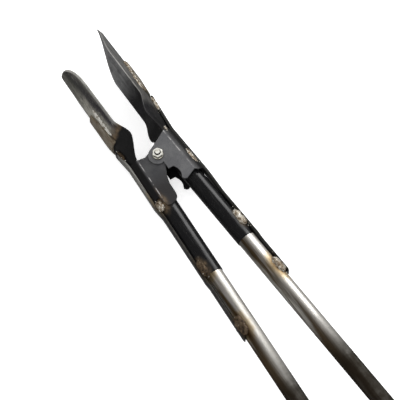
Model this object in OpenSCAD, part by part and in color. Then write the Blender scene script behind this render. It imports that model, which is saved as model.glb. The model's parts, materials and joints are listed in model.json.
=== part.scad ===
// Clamshell digging tongs: two steel scoops on long tube handles that pivot on one bolt.
// Modelled lying flat: pivot axis along +Z, scoop tips towards +X, left half on +Y.

/* [Handles] */
// Outer diameter of a handle tube
tube_d = 25; // [24:0.5:26]
// Wall thickness of a handle tube
tube_wall = 1.5; // [1:0.25:2.5]
// Distance along the handle from the pivot line to the end of the tube
handle_len = 780; // [600:10:1100]
// Angle between each handle and the centre line
splay = 2.8; // [2.4:0.1:3.4]
// Distance from the pivot axis to each handle's axis
handle_offset = 23.8; // [23:0.1:25]
// Length of the tube inside the neck, past the pivot line
tube_reach = 6; // [2:1:9]

/* [Sleeves] */
// Wall thickness of the black sleeve around each tube
sleeve_wall = 0.9; // [0.8:0.05:1.5]
// Length of the right sleeve behind the pivot line
right_sleeve_back = 168; // [120:1:190]
// Length of the left sleeve behind the pivot line
left_sleeve_back = 186; // [120:1:210]

/* [Grips] */
// Length of the rubber grip
grip_len = 130; // [90:5:160]
// Wall thickness of the rubber grip
grip_wall = 3.4; // [2:0.1:4]
// Thickness of the end plug's flange
plug_flange = 4; // [2:0.5:8]
// How far the end plug's flange stays inside the grip's outline
plug_inset = 0.6; // [0.3:0.1:2]
// Length of the end plug's shank inside the tube
plug_shank = 18; // [10:1:30]

/* [Scoops] */
// Width of a scoop across its rims
scoop_w = 92; // [84:1:100]
// Sheet thickness of a scoop
scoop_t = 3; // [2:0.25:4]
// Thickness left at the ground rim
rim_t = 1.3; // [0.8:0.1:2]
// Width of the ground bevel along the rim
bevel_w = 7; // [4:0.5:12]
// Distance from the centre line to the rim, before its back is ground away
rim_y = 30.1; // [29.5:0.1:34]
// How far the shoulder rises from the rim towards the centre line
bulge = 9.5; // [0:0.5:10]
// Roundness of the spine, as a share of the half width
spine_round = 0.35; // [0.1:0.05:1]
// Rise of the neck's spine per unit of length
neck_rise = 0.084; // [0.05:0.002:0.1]
// Reach of the pointed right tip from the pivot
right_tip = 230; // [205:1:260]
// Length of the pointed right tip
right_tip_len = 68; // [40:1:90]
// Spine height of the right scoop at its tip
right_spine = 46.2; // [42:0.2:50]
// Reach of the rounded left tip from the pivot
left_tip = 194; // [180:1:230]
// Length of the rounded left tip
left_tip_len = 54; // [30:1:70]
// Spine height of the left scoop
left_spine = 43.4; // [41:0.2:48]
// Spine height of the left scoop at its tip
left_spine_tip = 40.6; // [38:0.2:46]

/* [Backing plates] */
// Half width of the right plate
right_plate_half = 24; // [14:1:26]
// Half width of the left plate
left_plate_half = 20; // [14:1:24]
// Thickness of a backing plate
plate_t = 3; // [2:0.5:4]
// Start and end of the right plate
right_plate = [93, 149]; // [40:1:200]
// Start and end of the left plate
left_plate = [50, 109]; // [40:1:180]

/* [Brackets] */
// Thickness of the bracket plate
ear_t = 2.5; // [2:0.1:3]
// Gap between an ear of one bracket and its neighbour on the other
ear_gap = 0.4; // [0.3:0.1:0.6]
// Outer radius of the bracket's bends
bend_r = 12; // [5:0.5:13]
// Radius of the ears around the pivot
lobe_r = 13.8; // [12:0.1:14]
// Front edge of the right bracket
right_neck = 28; // [24:0.5:32]
// Front edge of the left bracket
left_neck = 12; // [8:0.5:16]

/* [Straps] */
// Width of a strap
strap_w = 17; // [12:1:20]
// Thickness of the right strap
right_strap_t = 4.2; // [3:0.1:5]
// Thickness of the left strap
left_strap_t = 3; // [2.5:0.1:5]
// Rear end of the right bracket's web
right_web_back = 50; // [46:1:60]
// Rear end of the left bracket's web
left_web_back = 54; // [46:1:60]
// Length over which the right strap comes down behind its bracket
right_ramp = 40; // [12:1:50]
// Length over which the left strap comes down behind its bracket
left_ramp = 18; // [12:1:50]
// Front end of the right strap
right_strap_front = 89; // [60:1:92]
// Rear end of the right strap
right_strap_back = 240; // [215:1:280]
// Front end of the left strap
left_strap_front = 44; // [30:1:48]
// Rear end of the left strap
left_strap_back = 286; // [230:1:320]

/* [Pivot] */
// Diameter of the pivot bolt
bolt_d = 8; // [8:0.5:8]
// Running clearance around the bolt, on the radius
bolt_clear = 0.05; // [0.02:0.01:0.1]
// Width across the flats of the nut and the bolt head
hex_af = 13; // [13:0.5:13]
// Height of the nut
nut_h = 6.5; // [5:0.1:8]
// Height of the bolt head
head_h = 5.3; // [4:0.1:6]
// Outer diameter of a washer
washer_d = 16; // [15:0.5:18]
// Thickness of a washer
washer_t = 1.6; // [1:0.1:2]
// Outer diameter of the spacer bush between the left ears
bush_d = 14; // [12:0.5:15]

/* [Welds] */
// Radius of a weld bead
bead_r = 2.6; // [1.5:0.1:3]
// Start and end of the beads along the right plate
right_plate_run = [95, 121]; // [90:1:150]
// Start and end of the beads along the left plate
left_plate_run = [60, 104]; // [50:1:110]
// Start and end of the beads between the right strap and its scoop
right_front_run = [62, 86]; // [40:1:90]
// Start and end of the beads between the left strap and its scoop
left_front_run = [22, 42]; // [15:1:50]
// Start and end of the beads between the right strap and its bracket
right_web_run = [-36, -13]; // [-48:1:20]
// Start and end of the beads between the left strap and its bracket
left_web_run = [-71, -57]; // [-72:1:0]
// Start and end of the beads between the right strap and its sleeve
right_sleeve_run = [-152, -128]; // [-165:1:-90]
// Start and end of the beads between the left strap and its sleeve
left_sleeve_run = [-183, -163]; // [-185:1:-90]
// Start and end of the beads between the right strap and its tube
right_tube_run = [-238, -215]; // [-240:1:-185]
// Start and end of the beads between the left strap and its tube
left_tube_run = [-284, -256]; // [-286:1:-205]

/* [Hidden] */
$fn = 64;

// Play between pieces of one body that lie on each other
seat = 0.05;
// Gap under a backing plate, so that it stays clear of the scoop's facets
plate_lift = 0.15;
// Share of a backing plate's width that its front end tapers by
plate_taper = 0.35;
// How far a cutting shape passes what it cuts
over = 1;
// Beyond the outermost face of a bracket
beyond = 60;
tube_r = tube_d / 2;
bore_r = tube_r - tube_wall;
sleeve_r = tube_r + seat + sleeve_wall;
grip_r = tube_r + seat + grip_wall;
scoop_half = scoop_w / 2;
bolt_r = bolt_d / 2;
bolt_bore = bolt_r + bolt_clear;

// Heights of the ears above the middle plane
left_ear_in = sleeve_r + seat;
left_ear_out = left_ear_in + ear_t;
right_ear_in = left_ear_out + ear_gap;
right_ear_out = right_ear_in + ear_t;
web_in = sleeve_r + seat;
web_out = web_in + ear_t;
stack_z = right_ear_out + washer_t;
// How far the beads on the round sleeve and tube lie below its outermost line
sunk = bead_r / 2;
// Length of the bolt past its nut
bolt_tail = 2.5;

// Row frame: centred on the footprint, with the lower rims at height 0
handle_end = handle_len + plug_flange;
end_x = -handle_end * cos(splay) - (grip_r - plug_inset) * sin(splay);
frame_x = -(right_tip + end_x) / 2;
frame_z = scoop_half;

// Scoop meshes: stations along the length, and points across each side
stations = 44;
crosswise = 8;
// Crowds the stations towards the tip
station_bias = 1.3;
// Lengths over which a scoop widens from its neck, and its bulge fades
shoulder_len = 26;
bulge_len = 32;
// Half width left at a tip
tip_half = 0.5;
// Thickness along Y of a sloped sheet, as a multiple of its own
slant = 1.1;

// One side is [name sign, neck, tip, tip length, spine, tip spine, neck half width, pointed]
RIGHT = [-1, right_neck, right_tip, right_tip_len, right_spine, right_spine, right_ear_out, true];
LEFT = [1, left_neck, left_tip, left_tip_len, left_spine, left_spine_tip, left_ear_out, false];

function clamp01(t) = max(0, min(1, t));
function smooth(t) = let (c = clamp01(t)) c * c * (3 - 2 * c);
function mix(a, b, t) = a + (b - a) * t;
function axis_y(x) = handle_offset - x * tan(splay);
function off_axis(x, r) = axis_y(x) + r / cos(splay);

// Spine of a scoop: it rises from the bracket's web, then runs straight to the tip
function spine_y(side, x) =
    let (neck_y = off_axis(side[1], web_out))
    let (knee = side[1] + (side[4] - neck_y) / neck_rise)
    x < knee
        ? neck_y + (x - side[1]) * neck_rise
        : mix(side[4], side[5], (x - knee) / (side[2] - knee));

// Rim height, with the shoulder's bulge towards the centre line
function rim_at(side, x) =
    let (d = x - side[1] - shoulder_len)
    rim_y - bulge * (1 - smooth(abs(d) / (d > 0 ? bulge_len : shoulder_len)));

function neck_width(side, x) = mix(side[6], scoop_half, smooth((x - side[1]) / shoulder_len));

// Plan outline of a tip: pointed with curved sides, or a half ellipse
function tip_width(side, x) =
    let (s = clamp01((side[2] - x) / side[3]))
    scoop_half * (side[7] ? 1 - pow(1 - s, 1.5) : sqrt(1 - pow(1 - s, 2)));

function half_width(side, x) = max(tip_half, min(neck_width(side, x), tip_width(side, x)));

// Share of the trough's depth at a share s of its half width: a V with a round spine
function vee(s) =
    (sqrt(s * s + spine_round * spine_round) - spine_round)
    / (sqrt(1 + spine_round * spine_round) - spine_round);

function back_y(side, x, z) =
    let (top = spine_y(side, x))
    top - (top - rim_at(side, x)) * vee(abs(z) / neck_width(side, x));

// How much is ground off the back of the sheet, most at the rim
function ground_off(side, x, z) =
    (scoop_t - rim_t) * (1 - clamp01((half_width(side, x) - abs(z)) / bevel_w));

function station_x(side, i) = mix(side[1] + seat, side[2], 1 - pow(1 - i / stations, station_bias));

// Closed mesh between two grids of points with rows stations and cols points across
module grid_solid(upper, lower, rows, cols) {
    n = rows * cols;
    points = concat(upper, lower);
    skin = [
        for (i = [0 : rows - 2], j = [0 : cols - 2])
            let (a = i * cols + j, b = a + 1, c = a + cols, d = c + 1)
            each [[a, c, b], [b, c, d], [n + a, n + b, n + c], [n + b, n + d, n + c]]
    ];
    long_edges = [
        for (i = [0 : rows - 2])
            let (a = i * cols, c = a + cols, b = a + cols - 1, d = b + cols)
            each [[a, n + a, c], [c, n + a, n + c], [b, d, n + b], [d, n + d, n + b]]
    ];
    end_edges = [
        for (j = [0 : cols - 2])
            let (a = j, b = j + 1, c = (rows - 1) * cols + j, d = c + 1)
            each [[a, b, n + a], [b, n + b, n + a], [c, n + c, d], [d, n + c, n + d]]
    ];
    polyhedron(points = points, faces = concat(skin, long_edges, end_edges), convexity = 6);
}

// Everything is drawn with its half on +Y, and the right half is mirrored
module half(side) {
    translate([frame_x, 0, frame_z])
        mirror([0, side[0] < 0 ? 1 : 0, 0])
            children();
}

module at_pivot(z) {
    translate([frame_x, 0, frame_z + z])
        children();
}

// Handle frame: local X along the tube, towards the neck
module on_handle(side) {
    half(side)
        translate([0, handle_offset, 0])
            rotate([0, 0, -splay])
                children();
}

module pipe_x(x0, x1, outer, inner) {
    translate([x0, 0, 0])
        rotate([0, 90, 0])
            difference() {
                cylinder(h = x1 - x0, r = outer);
                translate([0, 0, -over])
                    cylinder(h = x1 - x0 + 2 * over, r = inner);
            }
}

module scoop(side) {
    cols = 2 * crosswise + 1;
    xs = [for (i = [0 : stations]) station_x(side, i)];
    outer = [
        for (x = xs, j = [-crosswise : crosswise])
            let (z = half_width(side, x) * j / crosswise)
            [x, back_y(side, x, z) - slant * ground_off(side, x, z), z]
    ];
    inner = [
        for (x = xs, j = [-crosswise : crosswise])
            let (z = half_width(side, x) * j / crosswise)
            [x, back_y(side, x, z) - slant * scoop_t, z]
    ];
    half(side)
        grid_solid(outer, inner, stations + 1, cols);
}

// Backing plate that follows the back of the scoop, with a tapered front end
module scoop_plate(side, half_w, span) {
    rows = 12;
    cols = 9;
    plate_point = function (i, j, up)
        let (x = mix(span[0], span[1], i / rows))
        let (narrow = 1 - plate_taper * smooth((i - rows / 2) / (rows / 2)))
        let (z = half_w * narrow * (2 * j / (cols - 1) - 1))
        [x, back_y(side, x, z) + up, z];
    upper = [for (i = [0 : rows], j = [0 : cols - 1]) plate_point(i, j, plate_lift + plate_t)];
    lower = [for (i = [0 : rows], j = [0 : cols - 1]) plate_point(i, j, plate_lift)];
    half(side)
        grid_solid(upper, lower, rows + 1, cols);
}

// Weld bead: a round bar with ball ends between two points at one height
module bead(p, q, z) {
    run = q - p;
    translate([p[0], p[1], z])
        rotate([0, 0, atan2(run[1], run[0])]) {
            rotate([0, 90, 0])
                cylinder(h = norm(run), r = bead_r);
            sphere(r = bead_r);
            translate([norm(run), 0, 0])
                sphere(r = bead_r);
        }
}

// Beads along both edges of a backing plate
module plate_welds(side, half_w, run) {
    ends = [for (x = run) [x, back_y(side, x, half_w) + sunk]];
    half(side)
        for (s = [-1, 1])
            bead(ends[0], ends[1], s * half_w);
}

// Channel that wraps the handle: flat sides, flat web and rounded bends
module channel(inner_half, thick) {
    inner_bend = bend_r - thick;
    rotate([0, -90, 0])
        linear_extrude(height = 2 * handle_len, center = true)
            difference() {
                round_slot(inner_half + thick, web_in + thick, bend_r);
                round_slot(inner_half, web_in, inner_bend);
            }
}

// Slot open towards -Y, with its closed end at depth and corners of radius r
module round_slot(half_w, depth, r) {
    translate([-half_w, -beyond])
        square([2 * half_w, beyond + depth - r]);
    translate([-half_w + r, -beyond])
        square([2 * (half_w - r), beyond + depth]);
    for (s = [-1, 1])
        translate([s * (half_w - r), depth - r])
            circle(r = r);
}

// Arc of the lobe around the pivot, as points from angle a to angle b
function lobe_arc(a, b) =
    let (steps = 32)
    [for (i = [0 : steps]) lobe_r * [cos(mix(a, b, i / steps)), sin(mix(a, b, i / steps))]];

// Arched hollow from x0 to x1 with its mouth at height y, as points
function hollow_arc(x0, x1, y, depth) =
    let (steps = 12)
    [for (i = [0 : steps]) [mix(x0, x1, i / steps), y + depth * sin(180 * i / steps)]];

// Side outline of the right bracket: web, front edge, lobe, stepped and hollowed rear edge
module right_outline() {
    front = [[-right_web_back, beyond], [right_neck, beyond], [right_neck, 27.4], [20, 11.4]];
    step = [[-12.5, 1], [-25.4, 0.8]];
    finger = [[-51.4, 11.2], [-52.4, 14], [-46, 30], [-right_web_back, 34]];
    polygon(concat(front, lobe_arc(-12, -172), step, hollow_arc(-26, -48, 8.5, 3.4), finger));
}

// Side outline of the left bracket: web, front edge, lobe, long rear edge with a round corner
module left_outline() {
    front = [[-left_web_back, beyond], [left_neck, beyond], [left_neck, 36], [11, 27], [6.7, 20.9]];
    rear = [[-26, 3.2], [-31.8, 6.4], [-44.4, 9.8], [-60.5, 10.6]];
    corner = [[-66, 12], [-70, 16], [-72.4, 25], [-70, 30], [-left_web_back, 34]];
    polygon(concat(front, lobe_arc(34, -170), rear, corner));
}

module bracket(side, inner_half) {
    half(side)
        difference() {
            intersection() {
                translate([0, handle_offset, 0])
                    rotate([0, 0, -splay])
                        channel(inner_half, ear_t);
                linear_extrude(height = 2 * scoop_half, center = true)
                    children();
            }
            cylinder(h = 2 * scoop_half, r = bolt_bore, center = true);
        }
}

module sleeve(side, back) {
    on_handle(side)
        pipe_x(-back, side[1] - over, sleeve_r, tube_r + seat);
}

module tube(side) {
    on_handle(side)
        pipe_x(-handle_len, tube_reach, tube_r, bore_r);
}

// Strap: a flat bar laid along the outside, stepped over the sleeve, the web and the neck
module strap(side, thick, front, back, sleeve_back, web_back, ramp) {
    ease = 4;
    on_tube = -sleeve_back - 3 * ease;
    on_sleeve = -sleeve_back - ease;
    ramp_start = -web_back - ease - ramp;
    ramp_end = -web_back - ease;
    stops = [
        [-back, off_axis(-back, tube_r + seat)],
        [on_tube, off_axis(on_tube, tube_r + seat)],
        [on_sleeve, off_axis(on_sleeve, sleeve_r + seat)],
        [ramp_start, off_axis(ramp_start, sleeve_r + seat)],
        [ramp_end, off_axis(ramp_end, web_out + seat)],
        [side[1], off_axis(side[1], web_out + seat)],
        [front, spine_y(side, front) + 3 * seat]
    ];
    last = len(stops) - 1;
    raised = [for (i = [last : -1 : 0]) stops[i] + [0, thick]];
    half(side)
        linear_extrude(height = strap_w, center = true)
            polygon(concat(stops, raised));
}

// Beads along both edges of the strap, level being their distance from the handle's axis
module handle_beads(side, run, level) {
    ends = [for (x = run) [x, off_axis(x, level)]];
    half(side)
        for (s = [-1, 1])
            bead(ends[0], ends[1], s * strap_w / 2);
}

// Beads between the strap's front end and the spine of the scoop
module front_beads(side, run) {
    ends = [for (x = run) [x, spine_y(side, x)]];
    half(side)
        for (s = [-1, 1])
            bead(ends[0], ends[1], s * strap_w / 2);
}

module grip(side) {
    on_handle(side)
        pipe_x(-handle_len, -handle_len + grip_len, grip_r, tube_r + seat);
}

module end_plug(side) {
    on_handle(side)
        translate([-handle_len, 0, 0])
            rotate([0, 90, 0]) {
                translate([0, 0, -plug_flange])
                    cylinder(h = plug_flange, r = grip_r - plug_inset);
                cylinder(h = plug_shank, r = bore_r - seat);
            }
}

module hex_bar(height) {
    cylinder(h = height, d = hex_af / cos(30), $fn = 6);
}

module ring(height, outer) {
    difference() {
        cylinder(h = height, r = outer);
        translate([0, 0, -over])
            cylinder(h = height + 2 * over, r = bolt_bore);
    }
}

module right_scoop() { color("dimgray") scoop(RIGHT); }
module right_scoop_plate() { color("darkgray") scoop_plate(RIGHT, right_plate_half, right_plate); }
module right_plate_welds() { color("silver") plate_welds(RIGHT, right_plate_half, right_plate_run); }
module right_bracket() { color("gray") bracket(RIGHT, right_ear_in) right_outline(); }
module right_sleeve() { color("black") sleeve(RIGHT, right_sleeve_back); }
module right_tube() { color("lightgray") tube(RIGHT); }
module right_strap() {
    color("dimgray")
        strap(
            RIGHT, right_strap_t, right_strap_front, right_strap_back,
            right_sleeve_back, right_web_back, right_ramp
        );
}
module right_neck_welds() {
    color("silver") {
        front_beads(RIGHT, right_front_run);
        handle_beads(RIGHT, right_web_run, web_out);
    }
}
module right_handle_welds() {
    color("silver") {
        handle_beads(RIGHT, right_sleeve_run, sleeve_r - sunk);
        handle_beads(RIGHT, right_tube_run, tube_r - sunk);
    }
}
module right_grip() { color("black") grip(RIGHT); }
module right_end_plug() { color("black") end_plug(RIGHT); }

module left_scoop() { color("darkgray") scoop(LEFT); }
module left_scoop_plate() { color("darkgray") scoop_plate(LEFT, left_plate_half, left_plate); }
module left_plate_welds() { color("silver") plate_welds(LEFT, left_plate_half, left_plate_run); }
module left_bracket() { color("dimgray") bracket(LEFT, left_ear_in) left_outline(); }
module left_sleeve() { color("black") sleeve(LEFT, left_sleeve_back); }
module left_tube() { color("lightgray") tube(LEFT); }
module left_strap() {
    color("dimgray")
        strap(
            LEFT, left_strap_t, left_strap_front, left_strap_back,
            left_sleeve_back, left_web_back, left_ramp
        );
}
module left_neck_welds() {
    color("silver") {
        front_beads(LEFT, left_front_run);
        handle_beads(LEFT, left_web_run, sleeve_r);
    }
}
module left_handle_welds() {
    color("silver") {
        handle_beads(LEFT, left_sleeve_run, sleeve_r - sunk);
        handle_beads(LEFT, left_tube_run, tube_r - sunk);
    }
}
module left_grip() { color("black") grip(LEFT); }
module left_end_plug() { color("black") end_plug(LEFT); }

module pivot_bolt() {
    color("silver") {
        at_pivot(-stack_z)
            cylinder(h = 2 * stack_z + nut_h + bolt_tail, r = bolt_r);
        at_pivot(-stack_z - head_h)
            hex_bar(head_h);
    }
}
module pivot_nut() {
    color("gainsboro")
        at_pivot(stack_z)
            difference() {
                hex_bar(nut_h);
                translate([0, 0, -over])
                    cylinder(h = nut_h + 2 * over, r = bolt_bore);
            }
}
module front_washer() { color("silver") at_pivot(right_ear_out) ring(washer_t, washer_d / 2); }
module rear_washer() { color("silver") at_pivot(-stack_z) ring(washer_t, washer_d / 2); }
module pivot_bush() {
    color("gray") at_pivot(-left_ear_in) ring(2 * left_ear_in, bush_d / 2);
}

right_scoop();
right_scoop_plate();
right_plate_welds();
right_bracket();
right_sleeve();
right_tube();
right_strap();
right_neck_welds();
right_handle_welds();
right_grip();
right_end_plug();
left_scoop();
left_scoop_plate();
left_plate_welds();
left_bracket();
left_sleeve();
left_tube();
left_strap();
left_neck_welds();
left_handle_welds();
left_grip();
left_end_plug();
pivot_bolt();
pivot_nut();
front_washer();
rear_washer();
pivot_bush();
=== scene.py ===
import json
import math
import bpy
import bmesh
import numpy as np
from mathutils import Matrix, Vector, noise


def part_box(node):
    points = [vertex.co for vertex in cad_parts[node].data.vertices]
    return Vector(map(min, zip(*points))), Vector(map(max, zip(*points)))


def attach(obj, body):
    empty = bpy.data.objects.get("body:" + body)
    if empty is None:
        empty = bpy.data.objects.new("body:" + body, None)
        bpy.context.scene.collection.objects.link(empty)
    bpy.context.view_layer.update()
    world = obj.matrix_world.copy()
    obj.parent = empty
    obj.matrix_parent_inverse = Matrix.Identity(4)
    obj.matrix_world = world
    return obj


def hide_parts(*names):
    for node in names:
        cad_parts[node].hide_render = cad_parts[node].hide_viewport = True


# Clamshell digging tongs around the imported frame. Lengths are in metres. "Tool" points are measured
# from the pivot: x towards the tips, y outwards from the centre line, z along the pivot bolt.

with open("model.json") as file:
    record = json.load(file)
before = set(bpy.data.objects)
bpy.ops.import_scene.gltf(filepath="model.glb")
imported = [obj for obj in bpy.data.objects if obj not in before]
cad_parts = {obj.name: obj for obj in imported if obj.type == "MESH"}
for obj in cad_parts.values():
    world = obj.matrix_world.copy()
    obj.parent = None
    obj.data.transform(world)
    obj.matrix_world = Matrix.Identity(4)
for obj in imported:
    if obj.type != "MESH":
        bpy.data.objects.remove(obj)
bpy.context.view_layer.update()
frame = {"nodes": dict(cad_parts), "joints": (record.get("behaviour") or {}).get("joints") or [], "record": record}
record = frame["record"]
pivot = Vector(frame["joints"][0]["pos_m"])
mounts = {m["name"]: m for m in record["mounts"]}
# The material slot and the moving body of each CAD node
SLOTS = {part["node"]: part["material_slot"] for part in record["subparts"]}
BODIES = {node: body for body, nodes in record["behaviour"]["bodies"].items() for node in nodes}

MM = 0.001
UP = Vector((0, 0, 1))

# ---------------------------------------------------------------- driving sizes
TUBE_R = 12.5 * MM
TUBE_WALL = 1.5 * MM
TUBE_REACH = 6 * MM
SLEEVE_R = 13.45 * MM
GRIP_R = 15.9 * MM
GRIP_LEN = 130 * MM
PLUG_LEN = 4 * MM
EAR_T = 2.5 * MM
# Room between pieces that lie on each other
PLAY = 0.05 * MM
WEB_OUT = SLEEVE_R + PLAY + EAR_T
SCOOP_HALF = 46 * MM
SCOOP_T = 3 * MM
# The shell leans, so it is this much thicker across Y than its sheet
SLANT = 1.1
RIM_Y = 30.1 * MM
RIM_T = 1.3 * MM
RIM_ROUND = 0.2 * MM
TIP_HALF = 0.6 * MM
BEVEL_W = 7 * MM
BULGE = 9.5 * MM
BULGE_LEN = 32 * MM
SHOULDER_LEN = 26 * MM
NECK_RISE = 0.084
SPINE_ROUND = 0.35
DENT, DENT_SIZE, DENT_FADE = 0.45 * MM, 34 * MM, 6 * MM
PLATE_T = 3 * MM
PLATE_SEAT = 0.15 * MM
STRAP_W = 17 * MM
STRAP_EDGE = 0.6 * MM
BOLT_R = 4 * MM
THREAD_DEPTH = 0.45 * MM
THREAD_PITCH = 1.25 * MM
HEX_AF = 13 * MM
HEX_CHAMFER = 0.35 * MM
HEX_SEGMENTS = 72
HOLE_EASE = 0.5 * MM


def clamp(t, low=0.0, high=1.0):
    return max(low, min(high, t))


def smooth(t):
    t = clamp(t)
    return t * t * (3 - 2 * t)


def mix(a, b, t):
    return a + (b - a) * t


def vee(s):
    """A V with a round bottom: 0 at the spine, 1 at the rim."""
    b = SPINE_ROUND
    return (math.sqrt(s * s + b * b) - b) / (math.sqrt(1 + b * b) - b)


class Side:
    """One half of the tool: its sizes, and the way from tool points to the row frame."""

    def __init__(self, name, sign, **sizes):
        self.name, self.sign = name, sign
        for key, value in sizes.items():
            setattr(self, key, value)
        face = mounts[name + "_end_face"]
        self.end = Vector(face["pos_m"])
        self.along = -Vector(face["axis"])
        self.splay = math.atan2(abs(self.along.y), self.along.x)
        self.offset = abs(self.end.y) - (pivot.x - self.end.x) * math.tan(self.splay)

    def point(self, x, y, z):
        return Vector((pivot.x + x, pivot.y + self.sign * y, pivot.z + z))

    def axis_y(self, x):
        return self.offset - x * math.tan(self.splay)

    def off_axis(self, x, r):
        return self.axis_y(x) + r / math.cos(self.splay)

    def spine_y(self, x):
        neck_y = self.off_axis(self.neck, WEB_OUT)
        knee = self.neck + (self.spine - neck_y) / NECK_RISE
        if x < knee:
            return neck_y + (x - self.neck) * NECK_RISE
        return mix(self.spine, self.spine_tip, (x - knee) / (self.tip - knee))

    def rim_y(self, x):
        d = x - self.neck - SHOULDER_LEN
        return RIM_Y - BULGE * (1 - smooth(abs(d) / (BULGE_LEN if d > 0 else SHOULDER_LEN)))

    def neck_half(self, x):
        return mix(self.neck_w, SCOOP_HALF, smooth((x - self.neck) / SHOULDER_LEN))

    def half_width(self, x):
        s = clamp((self.tip - x) / self.tip_len)
        tip = 1 - (1 - s) ** 1.5 if self.pointed else math.sqrt(1 - (1 - s) ** 2)
        return max(TIP_HALF, min(self.neck_half(x), SCOOP_HALF * tip))

    def back_y(self, x, z):
        top = self.spine_y(x)
        return top - (top - self.rim_y(x)) * vee(abs(z) / self.neck_half(x))


RIGHT = Side(
    "right", -1, neck=28 * MM, tip=230 * MM, tip_len=68 * MM, spine=46.2 * MM, spine_tip=46.2 * MM,
    neck_w=18.9 * MM, pointed=True, plate=(93 * MM, 149 * MM), plate_half=24 * MM, sleeve_back=168 * MM,
    strap=(-240 * MM, 89 * MM), strap_t=4.2 * MM, web_back=50 * MM, ramp=40 * MM,
)
LEFT = Side(
    "left", 1, neck=12 * MM, tip=194 * MM, tip_len=54 * MM, spine=43.4 * MM, spine_tip=40.6 * MM,
    neck_w=16.0 * MM, pointed=False, plate=(50 * MM, 109 * MM), plate_half=21 * MM, sleeve_back=186 * MM,
    strap=(-286 * MM, 44 * MM), strap_t=3.0 * MM, web_back=54 * MM, ramp=18 * MM,
)
SIDES = (RIGHT, LEFT)


# ---------------------------------------------------------------- camera, floor and light
VIEW_AZIMUTH = math.radians(242.08)
VIEW_ELEVATION = math.radians(64.90)
VIEW_ROLL = math.radians(-6.67)
VIEW_DISTANCE = 2.2
AIM_RIGHT = 57.2 * MM
AIM_DOWN = 54.5 * MM
LENS_MM, SENSOR_MM = 142.16, 36

FLOOR_HALF = 12
FLOOR_DROP = 0.4 * MM
FLOOR_GLOW = 0.42
# Each lamp: what it points at and where it stands from there, its two sizes, and its watts
SKY_AIM, SKY_FROM = Vector((-0.1, 0, 0)), Vector((-0.3, 0.2, 2.6))
SKY_SIZE, SKY_WATTS = (3.2, 3.2), 92
BOX_AIM, BOX_FROM = Vector((-0.12, 0, 0)), Vector((0.375, -0.71, 0.597)).normalized() * 1.9
BOX_SIZE, BOX_WATTS = (0.85, 1.15), 12.5
# The white surroundings light the tool more than they show in its gloss
WORLD_LIT, WORLD_MIRRORED = 0.55, 0.13


def view_axes():
    a, e = VIEW_AZIMUTH, VIEW_ELEVATION
    back = Vector((math.sin(a) * math.cos(e), -math.cos(a) * math.cos(e), math.sin(e)))
    level = Vector((math.cos(a), math.sin(a), 0))
    right = level * math.cos(VIEW_ROLL) + back.cross(level) * math.sin(VIEW_ROLL)
    return right, back.cross(right), back


def make_camera():
    right, up, back = view_axes()
    data = bpy.data.cameras.new("view")
    data.lens, data.sensor_width = LENS_MM, SENSOR_MM
    data.clip_start, data.clip_end = 0.05, 50
    cam = bpy.data.objects.new("view", data)
    bpy.context.scene.collection.objects.link(cam)
    cam.matrix_world = Matrix.Translation(
        pivot + right * AIM_RIGHT - up * AIM_DOWN + back * VIEW_DISTANCE
    ) @ Matrix((right, up, back)).transposed().to_4x4()
    bpy.context.scene.camera = cam


def make_floor():
    mesh = bpy.data.meshes.new("floor")
    signs = ((-1, -1), (1, -1), (1, 1), (-1, 1))
    corners = [(x * FLOOR_HALF, y * FLOOR_HALF, -FLOOR_DROP) for x, y in signs]
    mesh.from_pydata(corners, [], [(0, 1, 2, 3)])
    floor = bpy.data.objects.new("floor", mesh)
    bpy.context.scene.collection.objects.link(floor)
    g = Graph("floor_white")
    g.set(base=(0.9, 0.9, 0.9), Roughness=0.9)
    floor.data.materials.append(g.set(Emission_Color=(1, 1, 1), Emission_Strength=FLOOR_GLOW))
    floor.visible_glossy = False


def area_light(name, target, reach, size, power, glossy=True):
    """A lamp that stands at target + reach. The first of its two sizes runs along the tool's X axis."""
    data = bpy.data.lights.new(name, "AREA")
    data.shape = "RECTANGLE"
    data.size, data.size_y = size
    data.energy = power
    lamp = bpy.data.objects.new(name, data)
    bpy.context.scene.collection.objects.link(lamp)
    at = target + reach
    back = (at - target).normalized()
    across = back.cross(Vector((1, 0, 0))).normalized()
    turn = Matrix((across.cross(back), across, back)).transposed()
    lamp.matrix_world = Matrix.Translation(at) @ turn.to_4x4()
    lamp.visible_glossy = glossy
    lamp.visible_camera = False


def make_light():
    area_light("sky_panel", pivot + SKY_AIM, SKY_FROM, SKY_SIZE, SKY_WATTS, glossy=False)
    # The softbox beside the right half gives the tubes their long highlight
    area_light("soft_box", pivot + BOX_AIM, BOX_FROM, BOX_SIZE, BOX_WATTS)
    world = bpy.data.worlds.new("studio")
    bpy.context.scene.world = world
    world.use_nodes = True
    nt = world.node_tree
    nt.nodes.clear()
    out = nt.nodes.new("ShaderNodeOutputWorld")
    path = nt.nodes.new("ShaderNodeLightPath")
    blend = nt.nodes.new("ShaderNodeMixShader")
    nt.links.new(path.outputs["Is Glossy Ray"], blend.inputs[0])
    for slot, colour, strength in ((1, (1, 1, 1, 1), WORLD_LIT), (2, (1, 0.99, 0.97, 1), WORLD_MIRRORED)):
        sky = nt.nodes.new("ShaderNodeBackground")
        sky.inputs["Color"].default_value, sky.inputs["Strength"].default_value = colour, strength
        nt.links.new(sky.outputs[0], blend.inputs[slot])
    nt.links.new(blend.outputs[0], out.inputs[0])
    bpy.context.scene.view_settings.view_transform = "Standard"
    bpy.context.scene.view_settings.look = "None"


# ---------------------------------------------------------------- material graphs
def srgb(r, g, b):
    """Linear colour from 0 to 255 display values."""
    def one(v):
        v /= 255
        return v / 12.92 if v <= 0.04045 else ((v + 0.055) / 1.055) ** 2.4
    return (one(r), one(g), one(b))


def dimmed(factor, *rgb):
    return srgb(*(v * factor for v in rgb))


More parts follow.
